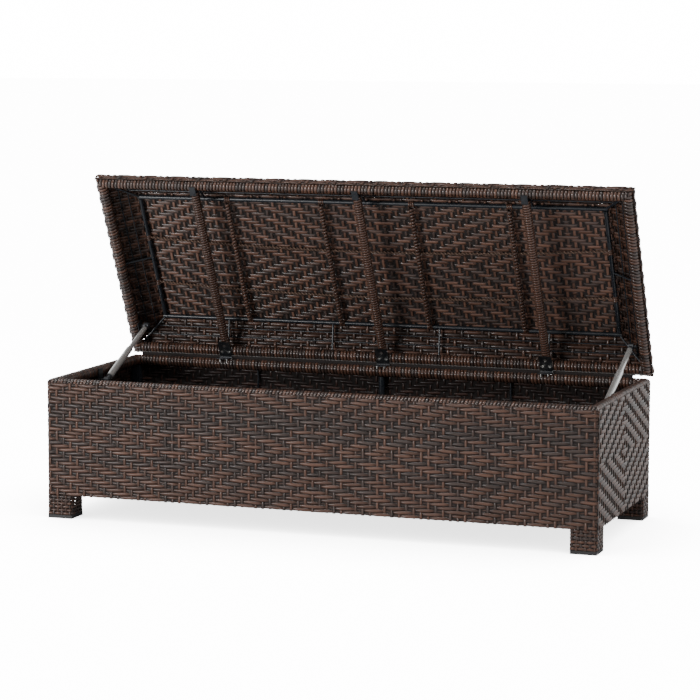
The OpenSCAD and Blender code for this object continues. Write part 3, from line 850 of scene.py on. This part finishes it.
def finishWraps(bm, name):
    # painted shade: the edges of a turn lie lower than its crown, and the colour darkens there
    strand = bm.verts.layers.float_vector["strand"]
    hollowShade = bm.verts.layers.float.new("depth")
    for v in bm.verts:
        v[hollowShade] = 1 - 1.7 * abs(v[strand].y) ** 2.5
    bmesh.ops.recalc_face_normals(bm, faces=bm.faces)
    for face in bm.faces:
        face.smooth = len(face.verts) == 4
    mesh = bpy.data.meshes.new(name)
    bm.to_mesh(mesh)
    bm.free()
    mesh.update()
    return mesh


def wrapRun(bm, s, length, start, sweep, place):
    # turns side by side along a tube; place is the matrix from the tube's own line to the table
    turns = int(length / s["pitch"])
    for k in range(turns):
        single = bmesh.new()
        layer = single.verts.layers.float_vector.new("strand")
        wrapTurn(single, s, start, sweep)
        tone = dice.random()
        single.verts.ensure_lookup_table()
        for n, v in enumerate(single.verts):
            along = n // 5 * s["outer"] * math.radians(s["stepAngle"]) + k * 0.37
            v[layer] = (along, profileSide[n % 5], tone)
        x = -length / 2 + (k + 0.5) * length / turns + dice.uniform(-0.25, 0.25) * mm
        tip = Matrix.Rotation(dice.uniform(-0.035, 0.035), 4, "Z")
        swell = Matrix.Diagonal((1, 1 + dice.uniform(0, 0.02), 1 + dice.uniform(0, 0.02), 1))
        spot = place @ Matrix.Translation((x, 0, 0)) @ tip @ swell
        bmesh.ops.transform(single, verts=single.verts, matrix=spot)
        scrap = bpy.data.meshes.new("scrap")
        single.to_mesh(scrap)
        single.free()
        bm.from_mesh(scrap)
        bpy.data.meshes.remove(scrap)


wrapSettings = {
    "pitch": 7.9 * mm,
    "width": 7.7 * mm,
    "inner": 10.6 * mm,
    "outer": 12.35 * mm,
    "stepAngle": 24,
    "boxStart": 14,             # degrees, first angle of a turn and how far it runs
    "boxSweep": 264,
    "lidStart": -12,
    "lidSweep": -250,
}


def tubePlace(x, y, z, heading, flip=1):
    # heading 0 runs along +X, 90 along +Y
    return (Matrix.Translation((x, y, z)) @ Matrix.Rotation(math.radians(heading), 4, "Z")
            @ Matrix.Diagonal((1, flip, 1, 1)))


def mitreCut(bm, corner, normal):
    geom = bm.verts[:] + bm.edges[:] + bm.faces[:]
    bmesh.ops.bisect_plane(bm, geom=geom, dist=1e-6, plane_co=corner, plane_no=normal, clear_outer=True)
    bmesh.ops.holes_fill(bm, edges=bm.edges, sides=12)


def rimWrap(name, side, level, start, sweep, body, node, turn=None):
    # side 0 front, 1 rear, 2 left, 3 right; angles are measured from the outside, through the top
    bm = bmesh.new()
    bm.verts.layers.float_vector.new("strand")
    r = tubeR
    long = side < 2
    length = 2 * halfW if long else depth
    if side == 0:
        place = tubePlace(0, frontY + r, level, 0, -1)
    elif side == 1:
        place = tubePlace(0, rearY - r, level, 0, 1)
    elif side == 2:
        place = tubePlace(-halfW + r, middleY, level, 90, 1)
    else:
        place = tubePlace(halfW - r, middleY, level, 90, -1)
    wrapRun(bm, wrapSettings, length - 2 * mm, start, sweep, place)
    for sx in (-1, 1):
        for sy in (-1, 1):
            corner = Vector((sx * halfW, middleY + sy * depth / 2, 0))
            if long and sy == (-1 if side == 0 else 1):
                mitreCut(bm, corner, Vector((sx, -sy, 0)).normalized())
            if not long and sx == (-1 if side == 2 else 1):
                mitreCut(bm, corner, Vector((-sx, sy, 0)).normalized())
    mesh = finishWraps(bm, name)
    if turn is not None:
        mesh.transform(turn)
    newPiece(name, mesh, wrapping, body, node)


boxTurn = (math.radians(wrapSettings["boxStart"]), math.radians(wrapSettings["boxSweep"]))
lidTurns = (math.radians(wrapSettings["lidStart"]), math.radians(wrapSettings["lidSweep"]))
for side, label in enumerate(("front", "rear", "left", "right")):
    rimWrap("rim_binding_" + label, side, rimTop - tubeR, *boxTurn, "box", "rim_wrap_" + label)
    rimWrap("lid_binding_" + label, side, lidPlan["under"] + tubeR, *lidTurns, "lid",
            "lid_wrap_" + label, lidTurn)
print("rims bound")


def helixMesh(name, s, runs, turn=None):
    # one unbroken strand wound round each straight rod
    whole = bmesh.new()
    whole.verts.layers.float_vector.new("strand")
    for length, place in runs:
        bm = bmesh.new()
        layer = bm.verts.layers.float_vector.new("strand")
        turns = length / s["pitch"]
        corners, sides = bandProfile(bm, s["width"], s["inner"], s["outer"])
        steps = round(turns * 360 / s["stepAngle"])
        bmesh.ops.spin(bm, geom=corners + sides, cent=(0, 0, 0), axis=(1, 0, 0), angle=turns * 2 * math.pi,
                       steps=steps, dvec=(length / steps, 0, 0), use_merge=False, use_duplicate=False)
        bmesh.ops.holes_fill(bm, edges=bm.edges, sides=5)
        tone = dice.uniform(0.55, 0.9)
        for n, v in enumerate(bm.verts):
            v[layer] = (n // 5 * s["outer"] * math.radians(s["stepAngle"]), profileSide[n % 5], tone)
        bmesh.ops.transform(bm, verts=bm.verts, matrix=place @ Matrix.Translation((-length / 2, 0, 0)))
        scrap = bpy.data.meshes.new("scrap")
        bm.to_mesh(scrap)
        bm.free()
        whole.from_mesh(scrap)
        bpy.data.meshes.remove(scrap)
    mesh = finishWraps(whole, name)
    if turn is not None:
        mesh.transform(turn)
    return mesh


barSettings = {"pitch": 6.3 * mm, "width": 6.1 * mm, "inner": 8.4 * mm, "outer": 9.6 * mm, "stepAngle": 24,
               "x": (-393 * mm, 0, 393 * mm), "level": 10.2 * mm, "length": depth - 57 * mm}
barRuns = [(barSettings["length"], tubePlace(x, middleY, lidPlan["under"] + barSettings["level"], 90))
           for x in barSettings["x"]]
newPiece("bar_binding", helixMesh("bar_binding", barSettings, barRuns, lidTurn), wrapping, "lid",
         "lid_bar_wraps")

thinSettings = {"pitch": 8.2 * mm, "width": 7.6 * mm, "inner": 4.0 * mm, "outer": 5.3 * mm,
                "stepAngle": 30, "x": (-338 * mm, -108 * mm, 108 * mm, 338 * mm),
                "level": 51.4 * mm, "length": depth - 160 * mm}
thinRuns = [(thinSettings["length"], tubePlace(x, middleY, lidPlan["under"] + thinSettings["level"], 90))
            for x in thinSettings["x"]]
newPiece("thin_rod_binding", helixMesh("thin_rod_binding", thinSettings, thinRuns, lidTurn), wrapping, "lid",
         "lid_thin_rods")


# ---- twisted cords ----
cordSettings = {"fromRear": (172 * mm, 295 * mm), "level": 57.2 * mm, "bow": 22 * mm, "half": 551.8 * mm,
                "radius": 1.7 * mm, "offset": 1.6 * mm, "pitch": 17 * mm, "stepAngle": 36}


def cordMesh():
    s = cordSettings
    whole = bmesh.new()
    whole.verts.layers.float_vector.new("strand")
    for v0 in s["fromRear"]:
        for ply in range(2):
            bm = bmesh.new()
            layer = bm.verts.layers.float_vector.new("strand")
            spot = (Matrix.Rotation(ply * math.pi, 4, "X") @ Matrix.Translation((0, s["offset"], 0))
                    @ Matrix.Rotation(math.pi / 2, 4, "Y"))
            ring = bmesh.ops.create_circle(bm, cap_ends=False, segments=6, radius=s["radius"],
                                           matrix=spot)["verts"]
            turns = 2 * s["half"] / s["pitch"]
            steps = round(turns * 360 / s["stepAngle"])
            bmesh.ops.spin(bm, geom=ring + bm.edges[:], cent=(0, 0, 0), axis=(1, 0, 0),
                           angle=turns * 2 * math.pi, steps=steps, dvec=(2 * s["half"] / steps, 0, 0),
                           use_merge=False, use_duplicate=False)
            bmesh.ops.holes_fill(bm, edges=bm.edges, sides=6)
            tone = dice.uniform(0.55, 0.9)
            for n, v in enumerate(bm.verts):
                v[layer] = (v.co.x, math.sin(n * math.pi / 3), tone)
            for v in bm.verts:
                x = v.co.x - s["half"]
                v.co.y += rearY - v0 + s["bow"] * (1 - (x / s["half"]) ** 2)
                v.co.z += lidPlan["under"] + s["level"]
                v.co.x = x
            scrap = bpy.data.meshes.new("scrap")
            bm.to_mesh(scrap)
            bm.free()
            whole.from_mesh(scrap)
            bpy.data.meshes.remove(scrap)
    mesh = finishWraps(whole, "twisted_cords")
    mesh.transform(lidTurn)
    return mesh


newPiece("twisted_cords", cordMesh(), cordStrand, "lid", "lid_cords")

# ---- lashings, a few turns of strand round the inner frame's rods ----
lashSettings = {"pitch": 4.6 * mm, "width": 4.4 * mm, "inner": 4.6 * mm, "outer": 6.6 * mm, "stepAngle": 24,
                "longIn": 74.5 * mm, "shortIn": 78 * mm, "level": 57.9 * mm, "length": 14 * mm}


def lashingRuns():
    s = lashSettings
    high = lidPlan["under"] + s["level"]
    spots = [tubePlace(x, y, high, 0) for x in thinSettings["x"]
             for y in (frontY + s["longIn"], rearY - s["longIn"])]
    spots += [tubePlace(sx * (halfW - s["shortIn"]), rearY - v, high, 90)
              for sx in (-1, 1) for v in cordSettings["fromRear"]]
    return [(s["length"], spot) for spot in spots]


newPiece("frame_lashings", helixMesh("frame_lashings", lashSettings, lashingRuns(), lidTurn), wrapping, "lid")
print("rods and cords bound")

# ---- thin dark strip along the rear rim that closes the gap under the lid, painted shade in the gap ----
stripSettings = {"fromRear": 1.6 * mm, "thick": 0.8 * mm, "low": -4 * mm, "high": 5.6 * mm,
                 "ends": (-611 * mm, 594 * mm), "hinges": (-393 * mm, 0, 393 * mm), "clear": 15.4 * mm}


def gapStrip():
    s = stripSettings
    edges = [s["ends"][0]] + [x + side * s["clear"] for x in s["hinges"] for side in (-1, 1)] + [s["ends"][1]]
    bm = bmesh.new()
    level = rimTop + (s["low"] + s["high"]) / 2
    for low, high in zip(edges[::2], edges[1::2]):
        spot = (Matrix.Translation(((low + high) / 2, rearY - s["fromRear"], level))
                @ Matrix.Diagonal((high - low, s["thick"], s["high"] - s["low"], 1)))
        bmesh.ops.create_cube(bm, size=1, matrix=spot)
    bmesh.ops.bevel(bm, geom=bm.edges[:], offset=0.25 * mm, offset_type="OFFSET", segments=2, profile=0.5,
                    affect="EDGES", material=-1)
    mesh = bpy.data.meshes.new("gap_strip")
    bm.to_mesh(mesh)
    bm.free()
    # the strip wears the same dark finish as the painted-shade sheets
    newPiece("gap_strip", mesh, backing, "box")


gapStrip()

# ---- floor and lights ----
stageSettings = {"size": 40, "floor": (0.9, 0.9, 0.9, 1), "world": 0.2, "sheen": 0.42, "glow": 16.0,
                 "floorGlow": 14.0, "floorSheen": 0.3, "floorBounce": 0.25, "reach": 0.45}


def byRay(tree, low, sheen, high):
    # one strength for what is seen straight on, one for what is seen in a gloss, one for the rest
    rays = addNode(tree, "ShaderNodeLightPath").outputs
    glossy = maths(tree, "MULTIPLY_ADD", rays["Is Glossy Ray"], sheen - low, low)
    return maths(tree, "MULTIPLY_ADD", rays["Is Camera Ray"], high - low, glossy)


def makeStage(s):
    bm = bmesh.new()
    bmesh.ops.create_grid(bm, x_segments=1, y_segments=1, size=s["size"])
    mesh = bpy.data.meshes.new("floor")
    bm.to_mesh(mesh)
    bm.free()
    floor = bpy.data.objects.new("floor", mesh)
    scene.collection.objects.link(floor)
    mat, tree, shader = newMaterial("pale floor")
    shader.inputs["Base Color"].default_value = s["floor"]
    shader.inputs["Roughness"].default_value = 0.9
    shader.inputs["Emission Color"].default_value = (1, 1, 1, 1)
    # painted shadow: the floor's glow dims where the table stands close above it
    shade = addNode(tree, "ShaderNodeAmbientOcclusion", samples=16)
    shade.inputs["Distance"].default_value = s["reach"]
    soft = maths(tree, "POWER", spread(tree, shade.outputs["AO"], 0, 0.9, 0.42, 1), 2.0, clamp=True)
    glow = maths(tree, "MULTIPLY", soft, byRay(tree, s["floorBounce"], s["floorSheen"], s["floorGlow"]))
    plug(tree, glow, shader.inputs["Emission Strength"])
    mesh.materials.append(mat)
    world = bpy.data.worlds.new("studio")
    scene.world = world
    world.use_nodes = True
    sky = world.node_tree.nodes["Background"]
    sky.inputs["Color"].default_value = (1, 1, 1, 1)
    plug(world.node_tree, byRay(world.node_tree, s["world"], s["sheen"], s["glow"]), sky.inputs["Strength"])


def addLight(name, spot, target, size, power):
    data = bpy.data.lights.new(name, "AREA")
    data.shape = "RECTANGLE"
    data.size, data.size_y = size
    data.energy = power
    lamp = bpy.data.objects.new(name, data)
    lamp.location = spot
    lamp.rotation_mode = "QUATERNION"
    lamp.rotation_quaternion = (Vector(spot) - Vector(target)).to_track_quat("Z", "Y")
    lamp.visible_camera = False
    scene.collection.objects.link(lamp)


lightSettings = {
    "overhead": ((-0.3, -1.3, 3.2), (0, 0, 0.3), (2.8, 0.2), 48),
    "front": ((-2.8, -4.2, 0.75), (0, 0, 0.4), (1.8, 1.0), 140),
    "right": ((3.6, -0.6, 1.8), (0.5, 0, 0.3), (1.4, 1.4), 32),
    "back": ((1.9, 3.3, 1.3), (0.3, 0, 0.3), (3.2, 1.8), 22),
    "left": ((-3.2, 1.5, 1.4), (-0.4, 0, 0.4), (1.6, 1.8), 30),
}
makeStage(stageSettings)
for name, (spot, target, size, power) in lightSettings.items():
    addLight(name, spot, target, size, power)
print("stage lit")
